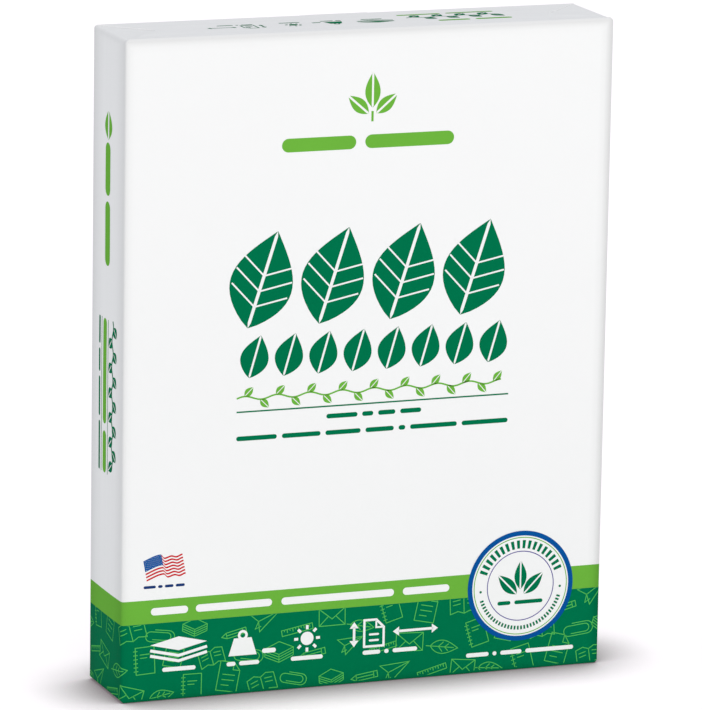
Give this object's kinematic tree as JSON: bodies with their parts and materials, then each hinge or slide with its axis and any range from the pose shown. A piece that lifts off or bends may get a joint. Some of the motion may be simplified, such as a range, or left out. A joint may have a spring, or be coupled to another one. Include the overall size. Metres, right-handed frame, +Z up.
{
  "type": "ream of paper",
  "caption": "Sealed pack of letter-size copier paper in a printed paper wrapper: a flat rectangular block with envelope-folded ends and a glued lap down its back.",
  "frame": {"origin": "middle of the bottom end, on the surface that the pack stands on", "axes": "+Z up the sheets' long side; -Y out of the printed front; +X to the right seen from the front"},
  "size_m": [0.2166, 0.0424, 0.2813],
  "materials": {
    "wrapping_paper": "satin"
  },
  "bodies": {
    "root": {"wrapped_ream": "wrapping_paper"}
  },
  "joints": []
}
